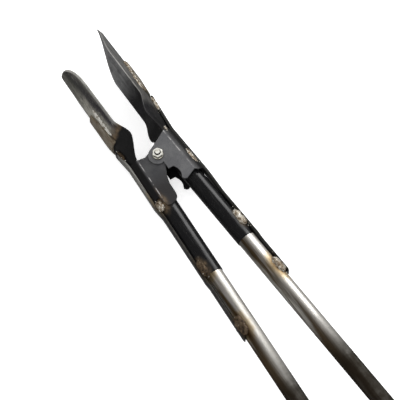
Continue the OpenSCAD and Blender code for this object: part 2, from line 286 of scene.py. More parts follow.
class Graph:
    """A node material with a Principled shader, and short calls for the nodes it uses."""

    def __init__(self, name):
        self.mat = bpy.data.materials.new(name)
        self.mat.use_nodes = True
        self.nt = self.mat.node_tree
        self.nt.nodes.clear()
        out = self.nt.nodes.new("ShaderNodeOutputMaterial")
        self.bsdf = self.nt.nodes.new("ShaderNodeBsdfPrincipled")
        self.nt.links.new(self.bsdf.outputs[0], out.inputs[0])
        coord = self.nt.nodes.new("ShaderNodeTexCoord")
        self.place, self.normal = coord.outputs["Object"], coord.outputs["Normal"]

    def put(self, socket, value):
        if isinstance(value, bpy.types.NodeSocket):
            self.nt.links.new(value, socket)
        elif isinstance(value, (tuple, list)) and len(value) == 3 and socket.type == "RGBA":
            socket.default_value = (*value, 1)
        else:
            socket.default_value = value

    def set(self, base=None, **sockets):
        """Sets inputs of the Principled shader and returns the material."""
        if base is not None:
            self.put(self.bsdf.inputs["Base Color"], base)
        for name, value in sockets.items():
            self.put(self.bsdf.inputs[name.replace("_", " ")], value)
        return self.mat

    def node(self, kind, inputs=(), **props):
        n = self.nt.nodes.new("ShaderNode" + kind)
        for key, value in props.items():
            setattr(n, key, value)
        for key, value in dict(inputs).items():
            self.put(n.inputs[key], value)
        return n

    def stretched(self, scale, turn=0.0):
        n = self.node("Mapping", {"Vector": self.place, "Scale": scale, "Rotation": (0, 0, turn)})
        return n.outputs[0]

    def noise(self, scale, detail=4.0, rough=0.55, warp=0.0, vector=None):
        n = self.node("TexNoise", {
            "Vector": self.place if vector is None else vector, "Scale": scale, "Detail": detail,
            "Roughness": rough, "Distortion": warp,
        })
        return n.outputs["Fac"]

    def lines(self, along, across, detail=5, rough=0.7, turn=0.0):
        """Noise drawn out into lines. along and across are its scales, turn is its angle about Z."""
        return self.noise(1, detail, rough, vector=self.stretched((along, across, across), turn))

    def span(self, value, low, high, to_low=0.0, to_high=1.0, kind="SMOOTHSTEP"):
        n = self.node("MapRange", {
            "Value": value, "From Min": low, "From Max": high, "To Min": to_low, "To Max": to_high,
        }, interpolation_type=kind)
        return n.outputs[0]

    def math(self, operation, a, b=0.0):
        return self.node("Math", {0: a, 1: b}, operation=operation).outputs[0]

    def plus(self, a, b):
        return self.math("ADD", a, b)

    def minus(self, a, b):
        return self.math("SUBTRACT", a, b)

    def times(self, a, b):
        return self.math("MULTIPLY", a, b)

    def absolute(self, a):
        return self.math("ABSOLUTE", a)

    def vector(self, operation, *values):
        n = self.node("VectorMath", dict(enumerate(values)), operation=operation)
        return n.outputs["Value" if operation == "LENGTH" else "Vector"]

    def mix(self, fac, a, b, how="MIX"):
        n = self.node("Mix", data_type="RGBA", blend_type=how)
        for index, value in ((0, fac), (6, a), (7, b)):
            self.put(n.inputs[index], value)
        return n.outputs[2]

    def stain(self, strength, colour, tint):
        return self.mix(strength, colour, tint, "MULTIPLY")

    def ramp(self, fac, stops):
        n = self.node("ValToRGB", {"Fac": fac})
        ramp = n.color_ramp
        while len(ramp.elements) < len(stops):
            ramp.elements.new(0.5)
        for element, (at, colour) in zip(ramp.elements, stops):
            element.position, element.color = at, (*colour, 1)
        return n.outputs["Color"]

    def axis(self, vector, name):
        return self.node("SeparateXYZ", {0: vector}).outputs[name]

    def tool_x(self):
        """Distance from the pivot towards the tips."""
        return self.minus(self.axis(self.place, "X"), pivot.x)

    def tool_z(self):
        """Height above the pivot's middle."""
        return self.minus(self.axis(self.place, "Z"), pivot.z)

    def outward(self, side):
        """Distance from a handle's axis, away from the centre line."""
        y = self.times(self.axis(self.place, "Y"), side.sign)
        return self.plus(self.minus(y, side.offset), self.times(self.tool_x(), math.tan(side.splay)))

    def attribute(self, name):
        return self.node("Attribute", attribute_name=name).outputs["Fac"]

    def bump(self, height, depth, under=None):
        inputs = {"Height": height, "Distance": depth, "Strength": 1.0}
        if under is not None:
            inputs["Normal"] = under
        return self.node("Bump", inputs).outputs[0]

    def heat(self, side):
        """How hot one half has been by its welds: 1 at a weld and 0 past its reach."""
        cloud = self.noise(90, detail=5)
        result = 0.0
        for x0, x1, z, reach in side.heat:
            middle, half_len = (x0 + x1) / 2, (x1 - x0) / 2
            spot = side.point(middle, side.off_axis(middle, HEAT_OUT), z)
            away = self.vector("SUBTRACT", self.place, tuple(spot))
            gap = self.vector("LENGTH", self.vector("MULTIPLY", away, (reach / (reach + half_len), 1, 1)))
            ragged = self.plus(gap, self.times(cloud, reach * RAGGED))
            one = self.span(ragged, reach * (1 + RAGGED / 2), reach * RAGGED / 2)
            result = self.math("MAXIMUM", result, one)
        return result


# How far out from the handle's axis the welds' heat is centred, and how ragged its border is
HEAT_OUT = 10 * MM
RAGGED = 0.5
HEAT_STOPS = [
    (0.0, srgb(255, 255, 255)), (0.2, srgb(240, 226, 202)), (0.5, srgb(206, 184, 148)),
    (0.72, srgb(134, 108, 80)), (0.86, srgb(78, 66, 56)), (1.0, srgb(48, 42, 38)),
]


def heat_rows(*rows):
    """Where welds have heated one half, in mm: start and end x, height z, and reach."""
    return [[v * MM for v in row] for row in rows]


RIGHT.heat = heat_rows((-240, -213, 10, 19), (-154, -127, 10, 12), (-38, -12, 10, 8))
LEFT.heat = heat_rows((-287, -256, 10, 17), (-188, -160, 10, 16), (-74, -44, 12, 19))


def tinted(g, base, heat, strength=1.0):
    """Multiplies a steel colour with the straw and brown heat tint around the welds."""
    return g.stain(strength, base, g.ramp(heat, HEAT_STOPS))


def tube_steel(side):
    """Bare polished tube: fine lengthwise drawing lines, heat tint by the welds, brown streaks laid on the side
    away from the soft box as painted shade, and a far end that is darker, partly tarnish and partly painted shade
    where the highlight ends.
    """
    g = Graph(side.name + "_tube_steel")
    x, u = g.tool_x(), g.outward(side)
    turn = side.sign * side.splay
    fine = g.lines(9, 620, detail=6, turn=turn)
    broad = g.lines(6, 110, detail=4, rough=0.55, turn=turn)
    mottled = g.noise(42, detail=6, rough=0.65)
    spot = g.span(g.noise(240, detail=3, rough=0.6), 0.74, 0.78)
    # Brown streaks and darker lines only on the side away from the soft box: real streaks, placed and darkened as
    # painted shade
    brown_shaded_side = g.span(g.times(u, side.sign), -3 * MM, 8 * MM, 0.1, 1.0)
    streak = g.times(brown_shaded_side, g.span(broad, 0.36, 0.56))
    steel = g.mix(streak, srgb(236, 233, 227), srgb(104, 87, 64))
    steel = g.mix(g.times(brown_shaded_side, g.span(fine, 0.45, 0.7, 0, 0.7)), steel, srgb(68, 56, 41))
    steel = g.mix(spot, steel, srgb(70, 48, 32))
    # The far end is darker and duller: partly tarnish, partly painted shade where the soft box's highlight ends
    away = g.span(g.plus(x, g.times(mottled, 60 * MM)), -248 * MM, -360 * MM)
    dull_and_shaded = g.times(away, g.span(mottled, 0.25, 0.6, 0.94, 1.0))
    wear_and_painted_light = g.mix(g.span(broad, 0.42, 0.62), srgb(50, 46, 40), srgb(34, 28, 21))
    steel = g.mix(dull_and_shaded, steel, wear_and_painted_light)
    heat = g.heat(side)
    base = tinted(g, steel, heat)
    rough = g.plus(g.span(broad, 0.3, 0.7, 0.3, 0.42), g.times(dull_and_shaded, 0.1))
    rough = g.plus(rough, g.times(heat, 0.2))
    # Drawing lines spread a highlight round the tube more than along it
    ring = g.vector("CROSS_PRODUCT", g.normal, (1, 0, 0))
    ring = g.node("VectorTransform", {0: ring}, convert_from="OBJECT", convert_to="WORLD").outputs[0]
    metal, sheen = g.span(dull_and_shaded, 0, 1, 0.93, 0.5), g.span(dull_and_shaded, 0, 1, 0.5, 0.1)
    g.set(base=base, Metallic=metal, Roughness=rough, Specular_IOR_Level=sheen)
    g.set(Anisotropic=0.75, Tangent=ring)
    return g.set(Normal=g.bump(fine, 0.04 * MM, g.bump(mottled, 0.05 * MM)))


def sleeve_black(side):
    """Gloss black paint with faint scuffs, burnt matt brown beside the welds."""
    g = Graph(side.name + "_sleeve_black")
    turn = side.sign * side.splay
    scuff = g.lines(30, 260, turn=turn)
    orange_peel = g.noise(260, detail=2)
    speck = g.span(g.noise(420, detail=3, rough=0.7), 0.66, 0.72)
    paint = g.mix(g.span(scuff, 0.5, 0.8), srgb(13, 13, 14), srgb(30, 30, 30))
    paint = g.mix(g.times(speck, 0.5), paint, srgb(96, 94, 90))
    heat = g.heat(side)
    burnt = g.ramp(g.noise(190, detail=5), [(0.35, srgb(30, 23, 17)), (0.62, srgb(84, 70, 52))])
    base = g.mix(g.span(heat, 0.15, 0.75), paint, burnt)
    rough = g.plus(g.span(scuff, 0.35, 0.75, 0.2, 0.36), g.times(heat, 0.45))
    g.set(base=base, Roughness=rough, Specular_IOR_Level=0.45)
    return g.set(Normal=g.bump(orange_peel, 0.05 * MM))


def bracket_paint(side):
    """Satin grey paint with a fine grain and a painted highlight along its fold; painted shade makes its bends
    near black and the left bracket darker; the rear ears are near black, and the left one is scorched.
    """
    g = Graph(side.name + "_bracket_paint")
    x, u, z = g.tool_x(), g.outward(side), g.tool_z()
    # The left bracket is painted darker than the right one: painted shade, as the soft box's reflection falls
    # further from it
    light, dark = (84, 72) if side is RIGHT else (58, 46)
    cloud = g.noise(55, detail=5, rough=0.6)
    grain = g.noise(900, detail=3, rough=0.7)
    base = g.mix(g.span(cloud, 0.35, 0.65), srgb(light, light, light + 1), srgb(dark, dark, dark + 2))
    base = g.mix(g.span(grain, 0.5, 0.7, 0, 0.5), base, srgb(34, 34, 35))
    fleck = g.span(g.noise(330, rough=0.75), 0.68, 0.74)
    base = g.mix(g.times(fleck, 0.5), base, srgb(170, 168, 160))
    if side is LEFT:
        sooty = g.span(g.plus(x, g.times(cloud, 30 * MM)), 2 * MM, -34 * MM, 0, 0.9)
        base = g.mix(sooty, base, srgb(32, 30, 30))
    heat = g.heat(side)
    burnt = g.ramp(g.noise(170, detail=5), [(0.35, srgb(34, 26, 20)), (0.65, srgb(96, 82, 64))])
    base = g.mix(g.span(heat, 0.1, 0.8), base, burnt)
    # Painted shade: near black where the bend turns away from the light; below the pivot's middle the rear ears
    # are near black
    base = g.mix(g.span(u, 4.5 * MM, 8 * MM), base, srgb(13, 12, 13))
    base = g.mix(g.span(z, 2 * MM, -2 * MM), base, srgb(16, 16, 17))
    # Painted highlight along the line where the flat side turns into the bend
    wear_and_painted_light = g.span(g.absolute(g.minus(u, 4.2 * MM)), 0.9 * MM, 0.2 * MM)
    wear_and_painted_light = g.times(wear_and_painted_light, g.span(g.noise(120, detail=5, rough=0.7), 0.45, 0.6, 0, 0.75))
    wear_and_painted_light = g.times(wear_and_painted_light, g.span(z, 5 * MM, 10 * MM))
    base = g.mix(wear_and_painted_light, base, srgb(168, 166, 164))
    g.set(base=base, Metallic=0.0, Roughness=g.span(cloud, 0.3, 0.7, 0.4, 0.52))
    return g.set(Normal=g.bump(grain, 0.03 * MM, g.bump(cloud, 0.15 * MM)))


def strap_steel(side):
    """Hot-rolled flat bar: blue-grey mill scale, rubbed lighter at the neck and along its edges."""
    g = Graph(side.name + "_strap_steel")
    x = g.tool_x()
    turn = side.sign * side.splay
    scale = g.noise(70, detail=6, rough=0.65, warp=0.4)
    speck = g.noise(380, rough=0.7)
    lines = g.lines(12, 500, turn=turn)
    dark = g.mix(g.span(scale, 0.35, 0.65), srgb(44, 45, 48), srgb(74, 73, 72))
    if side is RIGHT:
        dark = g.mix(0.75, dark, srgb(18, 17, 18))
    low, high = (0.4, 0.4) if side is RIGHT else (0.62, 0.95)
    shade = g.mix(g.span(speck, 0.45, 0.65), dimmed(low, 84, 81, 76), dimmed(low, 122, 118, 110))
    rubbed = g.mix(g.span(lines, 0.4, 0.7), dimmed(high, 150, 149, 144), dimmed(high, 104, 102, 97))
    bare = g.span(g.plus(x, g.times(scale, 30 * MM)), -70 * MM, -20 * MM)
    edge = g.span(g.absolute(g.axis(g.normal, "Z")), 0.3, 0.75)
    base = g.mix(edge, dark, g.mix(bare, shade, rubbed))
    if side is LEFT:
        base = g.mix(g.times(bare, 0.8), base, rubbed)
    # The front end is burnt dark
    nose = g.span(x, side.strap[1] - 9 * MM, side.strap[1] - 5 * MM)
    base = g.mix(nose, base, srgb(30, 29, 29))
    base = tinted(g, base, g.heat(side), 0.85)
    g.set(base=base, Metallic=0.55, Roughness=g.span(lines, 0.3, 0.7, 0.36, 0.52))
    return g.set(Normal=g.bump(lines, 0.03 * MM, g.bump(scale, 0.12 * MM, g.bump(speck, 0.06 * MM))))


def weld_metal():
    """Bead metal: silver crests, straw and brown in the hollows, dark slag at the borders."""
    g = Graph("weld_metal")
    crest = g.attribute("crest")
    cloud = g.noise(260, detail=5, rough=0.65)
    fine = g.noise(1100, rough=0.65)
    level = g.plus(g.times(crest, 0.75), g.times(cloud, 0.55))
    base = g.ramp(level, [
        (0.3, srgb(34, 27, 21)), (0.48, srgb(98, 82, 64)), (0.66, srgb(156, 144, 126)),
        (0.88, srgb(232, 230, 222)),
    ])
    g.set(base=base, Metallic=0.6, Roughness=g.span(cloud, 0.3, 0.7, 0.24, 0.46))
    return g.set(Normal=g.bump(fine, 0.2 * MM, g.bump(cloud, 0.5 * MM)))


def pointed_steel():
    """Right scoop: worn grey paint that turns black towards the neck, and a bright rim edge."""
    g = Graph("pointed_scoop_steel")
    x = g.tool_x()
    inner = g.attribute("inner")
    cloud = g.noise(38, detail=6, rough=0.6)
    blotch = g.noise(85, detail=5, rough=0.65)
    scratch = g.lines(24, 330, detail=6, rough=0.75, turn=0.12)
    along = g.plus(x, g.times(g.minus(cloud, 0.5), 50 * MM))
    grey = g.mix(g.span(scratch, 0.4, 0.7), srgb(116, 116, 116), srgb(78, 78, 78))
    grey = g.mix(g.span(blotch, 0.48, 0.66, 0, 0.6), grey, srgb(66, 65, 68))
    dark = g.mix(g.span(scratch, 0.5, 0.75), srgb(20, 20, 22), srgb(40, 39, 42))
    dark = g.mix(g.span(blotch, 0.52, 0.66, 0, 0.6), dark, srgb(38, 33, 45))
    streak = g.times(g.span(scratch, 0.52, 0.66), g.span(along, 62 * MM, 80 * MM))
    dark = g.mix(g.times(streak, 0.25), dark, srgb(104, 102, 102))
    inside = g.mix(g.span(along, 114 * MM, 160 * MM), dark, grey)
    facet = g.mix(g.span(blotch, 0.4, 0.65), srgb(82, 80, 77), srgb(64, 63, 62))
    flank = g.mix(g.span(x, 62 * MM, 76 * MM), srgb(24, 23, 26), facet)
    sheen = g.mix(g.span(scratch, 0.45, 0.65), srgb(98, 97, 95), srgb(66, 66, 66))
    outside = g.mix(g.span(along, 104 * MM, 140 * MM), flank, sheen)
    base = g.mix(inner, outside, inside)
    grit = g.span(g.noise(480, rough=0.7), 0.62, 0.72, 0, 0.5)
    base = g.mix(grit, base, srgb(160, 158, 154))
    base = g.mix(g.span(along, 50 * MM, 42 * MM), base, srgb(24, 24, 25))
    line = g.span(g.attribute("edge"), 0.93, 1.0)
    line = g.times(line, g.span(along, 70 * MM, 130 * MM, 0.04, 0.85))
    line = g.times(line, g.span(blotch, 0.35, 0.6, 0.3, 1.0))
    base = g.mix(line, base, srgb(196, 194, 190))
    metal = g.span(line, 0, 1, 0.2, 0.75)
    g.set(base=base, Metallic=metal, Roughness=g.span(scratch, 0.3, 0.7, 0.38, 0.54))
    return g.set(Normal=g.bump(scratch, 0.05 * MM, g.bump(cloud, 0.4 * MM)))


def rounded_steel():
    """Left scoop: bare ground sheet with a painted reflection that lightens its spine, painted shade in a dark
    band beside it, a rim that is lighter again, partly painted light and partly its ground edge, and black paint
    at the shoulder.
    """
    g = Graph("rounded_scoop_steel")
    x, z = g.tool_x(), g.tool_z()
    cloud = g.noise(34, detail=6, rough=0.6)
    blotch = g.noise(90, detail=5, rough=0.65)
    scratch = g.lines(20, 300, detail=6, rough=0.75, turn=-0.1)
    uneven = g.times(g.minus(cloud, 0.5), 22 * MM)
    along = g.plus(x, uneven)
    across = g.plus(g.absolute(z), g.times(uneven, 0.5))
    across = g.plus(across, g.times(g.minus(x, 128 * MM), 0.16))
    # Painted light across the scoop: a painted reflection lightens the spine, painted shade darkens the middle
    # band, and the rim side is lighter again
    bare = g.ramp(g.span(across, 0, 46 * MM, kind="LINEAR"), [
        (0.0, srgb(176, 173, 163)), (0.46, srgb(160, 157, 147)), (0.66, srgb(62, 60, 62)),
        (0.78, srgb(52, 50, 52)), (0.9, srgb(82, 80, 77)), (1.0, srgb(106, 104, 98)),
    ])
    bare = g.mix(g.span(scratch, 0.45, 0.62, 0, 0.6), bare, srgb(50, 48, 46))
    bare = g.mix(g.span(blotch, 0.48, 0.62, 0, 0.4), bare, srgb(62, 57, 62))
    gloss = g.times(g.span(scratch, 0.42, 0.34), g.span(blotch, 0.54, 0.42))
    bare = g.mix(g.times(gloss, 0.6), bare, srgb(176, 173, 164))
    grit = g.noise(330, rough=0.75)
    bare = g.mix(g.span(grit, 0.56, 0.66, 0, 0.5), bare, srgb(150, 148, 140))
    bare = g.mix(g.span(grit, 0.44, 0.36, 0, 0.6), bare, srgb(36, 34, 33))
    tip = g.times(g.span(along, 112 * MM, 172 * MM), g.span(across, 44 * MM, 30 * MM))
    bare = g.mix(g.times(tip, 0.62), bare, srgb(52, 54, 46))
    line = g.span(g.attribute("edge"), 0.45, 0.75)
    line = g.times(line, g.span(blotch, 0.3, 0.55, 0.3, 0.8))
    line = g.times(line, g.span(along, 100 * MM, 165 * MM, 0.45, 1.2))
    bare = g.mix(line, bare, srgb(196, 194, 188))
    black = g.mix(g.span(scratch, 0.5, 0.8), srgb(14, 14, 15), srgb(30, 28, 27))
    scorch = g.ramp(blotch, [(0.35, srgb(40, 29, 20)), (0.65, srgb(102, 86, 66))])
    base = g.mix(g.span(along, 66 * MM, 56 * MM), bare, scorch)
    base = g.mix(g.span(along, 56 * MM, 50 * MM), base, black)
    metal = g.span(along, 48 * MM, 62 * MM, 0.0, 0.5)
    g.set(base=base, Metallic=metal, Roughness=g.span(scratch, 0.3, 0.7, 0.34, 0.5))
    return g.set(Normal=g.bump(scratch, 0.05 * MM, g.bump(cloud, 0.35 * MM)))


def plate_steel():
    """Backing plates: bare steel with straw and brown heat tint and a coarse ground finish."""
    g = Graph("plate_steel")
    cloud = g.noise(60, detail=6, rough=0.6)
    scratch = g.lines(60, 380, turn=0.3)
    base = g.mix(g.span(scratch, 0.35, 0.7), srgb(146, 142, 134), srgb(96, 90, 80))
    tint = g.ramp(cloud, [
        (0.3, srgb(170, 138, 98)), (0.5, srgb(232, 220, 200)), (0.7, srgb(255, 255, 255)),
    ])
    base = g.stain(0.85, base, tint)
    g.set(base=base, Metallic=0.5, Roughness=g.span(cloud, 0.3, 0.7, 0.34, 0.5))
    return g.set(Normal=g.bump(scratch, 0.08 * MM, g.bump(cloud, 0.3 * MM)))


def zinc_plate():
    """Bright zinc plate with faint handling marks."""
    g = Graph("zinc_plate")
    cloud = g.noise(300, detail=5, rough=0.6)
    base = g.mix(g.span(cloud, 0.35, 0.7), srgb(246, 245, 238), srgb(204, 200, 186))
    # Oil and dirt in the gap round the bolt, and duller rims on the washers
    away = g.vector("SUBTRACT", g.place, tuple(pivot))
    reach = g.vector("LENGTH", g.vector("MULTIPLY", away, (1, 1, 0)))
    gap = g.span(g.absolute(g.minus(reach, 4.1 * MM)), 0.7 * MM, 0.3 * MM, 0, 0.9)
    base = g.stain(gap, base, srgb(70, 66, 60))
    base = g.mix(g.span(reach, 7.2 * MM, 7.6 * MM), base, srgb(112, 109, 103))
    side_on = g.span(g.absolute(g.axis(g.normal, "Z")), 0.9, 0.5)
    metal = g.span(side_on, 0, 1, 0.45, 1.0)
    g.set(base=base, Metallic=metal, Roughness=g.span(cloud, 0.3, 0.7, 0.12, 0.2))
    return g.set(Normal=g.bump(cloud, 0.05 * MM))


def bush_steel():
    """Turned steel with fine rings around the bolt."""
    g = Graph("bush_steel")
    rings = g.noise(1, rough=0.7, vector=g.stretched((40, 40, 1800)))
    base = g.mix(g.span(rings, 0.35, 0.7), srgb(140, 138, 134), srgb(96, 94, 92))
    g.set(base=base, Metallic=0.95, Roughness=0.34)
    return g.set(Normal=g.bump(rings, 0.04 * MM))


def grip_rubber():
    """Matt black rubber with a soft grain and dusty high spots."""
    g = Graph("grip_rubber")
    grain = g.noise(700, rough=0.7)
    cloud = g.noise(60)
    base = g.mix(g.span(cloud, 0.35, 0.7), srgb(30, 30, 31), srgb(46, 45, 44))
    g.set(base=base, Roughness=g.span(grain, 0.3, 0.7, 0.62, 0.8))
    return g.set(Normal=g.bump(grain, 0.06 * MM))


def plug_plastic():
    """Moulded black plastic with a light spark-eroded grain."""
    g = Graph("plug_plastic")
    grain = g.noise(1500, detail=2, rough=0.6)
    cloud = g.noise(80)
    base = g.mix(g.span(cloud, 0.35, 0.7), srgb(36, 36, 38), srgb(50, 50, 51))
    g.set(base=base, Roughness=g.span(cloud, 0.3, 0.7, 0.42, 0.55))
    return g.set(Normal=g.bump(grain, 0.03 * MM))


# ---------------------------------------------------------------- mesh building
def make_piece(name, node, verts, faces, material, sharp=35.0, masks=()):
    """A closed mesh that stands for a CAD node. masks are named values, one per vertex."""
    mesh = bpy.data.meshes.new(name)
    mesh.from_pydata([tuple(v) for v in verts], [], faces)
    for label, values in dict(masks).items():
        layer = mesh.attributes.new(label, "FLOAT", "POINT")
        layer.data.foreach_set("value", np.asarray(values, np.float32))
    return finish_piece(name, node, mesh, material, sharp)


def finish_piece(name, node, mesh, material, sharp):
    """Makes a mesh a piece with the body of its CAD node, which it replaces."""
    bm = bmesh.new()
    bm.from_mesh(mesh)
    bmesh.ops.recalc_face_normals(bm, faces=bm.faces)
    bm.to_mesh(mesh)
    bm.free()
    mesh.polygons.foreach_set("use_smooth", [True] * len(mesh.polygons))
    mesh.set_sharp_from_angle(angle=math.radians(sharp))
    mesh.materials.append(material)
    piece = bpy.data.objects.new(name, mesh)
    bpy.context.scene.collection.objects.link(piece)
    body, slot, nodes = BODIES[node], SLOTS[node], (node,)
    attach(piece, body)
    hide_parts(*nodes)
    return piece


def ease_edges(piece, width, segments, angle):
    bevel = piece.modifiers.new("eased_edges", "BEVEL")
    bevel.width, bevel.segments = width, segments
    bevel.limit_method, bevel.angle_limit = "ANGLE", math.radians(angle)
    return bevel


def grid_faces(rows, cols, start=0, closed=False):
    """Quads between rows of cols points. closed joins the last column to the first."""
    last = cols if closed else cols - 1
    return [
        (
            start + i * cols + j, start + i * cols + (j + 1) % cols,
            start + (i + 1) * cols + (j + 1) % cols, start + (i + 1) * cols + j,
        )
        for i in range(rows - 1) for j in range(last)
    ]


def loop_sweep(rings):
    """Vertices and faces of a solid through closed rings of points, capped at both ends."""
    cols = len(rings[0])
    verts = [p for ring in rings for p in ring]
    faces = grid_faces(len(rings), cols, closed=True)
    faces.append(tuple(range(cols - 1, -1, -1)))
    faces.append(tuple((len(rings) - 1) * cols + j for j in range(cols)))
    return verts, faces


def lathe_faces(segments, n, hollow):
    """Faces between columns of n points, all the way round. A hollow profile closes on itself."""
    faces = []
    for s in range(segments):
        a, b = s * n, ((s + 1) % segments) * n
        last = n if hollow else n - 1
        faces += [(a + j, a + (j + 1) % n, b + (j + 1) % n, b + j) for j in range(last)]
    if not hollow:
        faces.append(tuple(s * n for s in range(segments)))
        faces.append(tuple(s * n + n - 1 for s in reversed(range(segments))))
    return faces


def turned(profile, origin, along, segments=96, hollow=True):
    """Vertices and faces of a lathe shape. profile is (distance along, radius) points."""
    along = along.normalized()
    u = along.orthogonal().normalized()
    v = along.cross(u)
    verts = []
    for s in range(segments):
        a = 2 * math.pi * s / segments
        out = u * math.cos(a) + v * math.sin(a)
        verts += [origin + along * d + out * r for d, r in profile]
    return verts, lathe_faces(segments, len(profile), hollow)


def pipe_profile(length, outer, inner, round_off=0.4 * MM, step=6 * MM):
    """Profile of a pipe with eased edges and enough rings for its surface detail."""
    rings = max(2, int(length / step))
    r = round_off
    outside = [(mix(r, length - r, i / rings), outer) for i in range(rings + 1)]
    inside = [(mix(length - r, r, i / 4), inner) for i in range(5)]
    ends = (length, outer - r), (length, inner + r / 2)
    return [(0, outer - r), *outside, *ends, *inside, (0, inner + r / 2)]


def handle_pipe(side, name, node, x0, x1, outer, inner, material):
    """A pipe on one handle's axis, from x0 to x1 measured along it from the pivot line."""
    origin = side.point(0, side.offset, 0) + side.along * x0
    verts, faces = turned(pipe_profile(x1 - x0, outer, inner), origin, side.along)
    make_piece(side.name + name, side.name + node, verts, faces, material)


def make_bracket(side, material):
    """The bracket's CAD mesh with its flat faces rejoined and its edges eased by a bevel."""
    node = side.name + "_bracket"
    mesh = frame["nodes"][node].data.copy()
    bm = bmesh.new()
    bm.from_mesh(mesh)
    bmesh.ops.remove_doubles(bm, verts=bm.verts, dist=0.002 * MM)
    bmesh.ops.dissolve_limit(
        bm, angle_limit=math.radians(0.8), verts=bm.verts, edges=bm.edges, delimit={"NORMAL"}
    )
    bm.to_mesh(mesh)
    bm.free()
    mesh.materials.clear()
    mesh.name = side.name + "_clevis"
    piece = finish_piece(mesh.name, node, mesh, material, 30.0)
    ease_edges(piece, 0.45 * MM, 2, 28).harden_normals = True


def wander(x, y, z, size, amount):
    """A repeatable small offset that varies smoothly over size."""
    return amount * noise.noise(Vector((x, y, z)) / size)


# ---------------------------------------------------------------- scoops and plates
def make_scoop(side, material):
    """A scoop with its neck: a shell whose back is ground down towards the rims."""
    stations, across = 150, 26
    rows, edges = [], []
    for i in range(stations + 1):
        # The stations are closer together towards the tip
        x = mix(side.neck + PLAY, side.tip, 1 - (1 - i / stations) ** 1.35)
        w = side.half_width(x)
        outer, inner, rim = [], [], []
        for j in range(-across, across + 1):
            z = (w - RIM_ROUND) * j / across
            inset = w - abs(z)
            ground = 1 - clamp(inset / BEVEL_W)
            y = side.back_y(x, z)
            y += wander(x, z, side.sign, DENT_SIZE, DENT) * smooth(inset / DENT_FADE)
            outer.append(side.point(x, y - SLANT * (SCOOP_T - RIM_T) * ground, z))
            inner.append(side.point(x, y - SLANT * SCOOP_T, z))
            rim.append(ground)
        high = (outer[-1] + inner[-1]) / 2 + Vector((0, 0, RIM_ROUND))
        low = (outer[0] + inner[0]) / 2 - Vector((0, 0, RIM_ROUND))
        rows.append([*outer, high, *reversed(inner), low])
        edges += [*rim, 1, *reversed(rim), 1]
    cols, n = len(rows[0]), 2 * across + 1
    faces = grid_faces(len(rows), cols, closed=True)
    for base in (0, (len(rows) - 1) * cols):
        faces += [(base + j, base + j + 1, base + 2 * n - 1 - j, base + 2 * n - j) for j in range(n - 1)]
        faces += [(base + n - 1, base + n, base + n + 1), (base, base + 2 * n, base + 2 * n + 1)]
    inside = ([0] * n + [0.5] + [1] * n + [0.5]) * len(rows)
    make_piece(
        side.name + "_scoop_shell", side.name + "_scoop", [p for row in rows for p in row], faces,
        material, sharp=32.0, masks={"edge": edges, "inner": inside},
    )


def make_plate(side, material):
    """Backing plate: follows the scoop's back, with hand-cut edges."""
    rows, cols = 41, 25
    upper, lower = [], []
    for i in range(rows):
        t = i / (rows - 1)
        for j in range(cols):
            u = 2 * j / (cols - 1) - 1
            x = mix(*side.plate, t)
            narrow = 1 - 0.35 * smooth((t - 0.5) * 2)
            z = side.plate_half * narrow * u
            z += wander(x, u, side.sign, 14 * MM, 0.5 * MM) * abs(u)
            x += wander(z, t, side.sign + 3, 9 * MM, 0.9 * MM) * (2 * abs(t - 0.5)) ** 6
            seat = side.back_y(x, z) + PLATE_SEAT
            upper.append(side.point(x, seat + PLATE_T + wander(x, z, 5, 12 * MM, 0.12 * MM), z))
            lower.append(side.point(x, seat, z))
    n = rows * cols
    faces = grid_faces(rows, cols) + grid_faces(rows, cols, start=n)
    border = [(i * cols + j, (i + 1) * cols + j) for i in range(rows - 1) for j in (0, cols - 1)]
    border += [(i * cols + j, i * cols + j + 1) for j in range(cols - 1) for i in (0, rows - 1)]
    faces += [(a, b, n + b, n + a) for a, b in border]
    piece = make_piece(
        side.name + "_backing_plate", side.name + "_scoop_plate", upper + lower, faces, material
    )
    ease_edges(piece, 0.7 * MM, 3, 50)


# ---------------------------------------------------------------- straps
def strap_line(side):
    """Inner face of the strap: (x, y) stops, lying on the tube, the sleeve, the web and the neck."""
    ease = 4 * MM
    back, front = side.strap
    levels = [
        (back, TUBE_R), (-side.sleeve_back - 3 * ease, TUBE_R), (-side.sleeve_back - ease, SLEEVE_R),
        (-side.web_back - ease - side.ramp, SLEEVE_R), (-side.web_back - ease, WEB_OUT),
        (side.neck, WEB_OUT),
    ]
    stops = [(x, side.off_axis(x, r + PLAY)) for x, r in levels]
    return [*stops, (front, side.spine_y(front) + 3 * PLAY)]


def strap_y(side, x):
    stops = strap_line(side)
    for (xa, ya), (xb, yb) in zip(stops, stops[1:]):
        if x <= xb:
            return mix(ya, yb, (x - xa) / (xb - xa))
    return stops[-1][1]


def make_strap(side, material):
    """The flat bar: a rounded section swept along its line, eased at both ends."""
    rings = []
    count = 150
    for i in range(count + 1):
        x = mix(*side.strap, i / count)
        shrink = {0: 0.7 * MM, 1: 0.15 * MM}.get(min(i, count - i), 0)
        y0 = strap_y(side, x) + shrink
        y1 = y0 + side.strap_t - 2 * shrink
        half = STRAP_W / 2 - shrink + wander(x, 0, side.sign, 30 * MM, 0.12 * MM)
        r = STRAP_EDGE
        rim = []
        # The four rounded corners of the section, each with the angle that its arc starts at
        for sz, sy, start in ((1, 1, 0), (-1, 1, 90), (-1, -1, 180), (1, -1, 270)):
            cz, cy = sz * (half - r), y1 - r if sy > 0 else y0 + r
            for k in range(4):
                a = math.radians(start + 30 * k)
                rim.append((cz + r * math.cos(a), cy + r * math.sin(a)))
        rings.append([side.point(x, y, z) for z, y in rim])
    verts, faces = loop_sweep(rings)
    make_piece(side.name + "_flat_bar", side.name + "_strap", verts, faces, material, sharp=40.0)


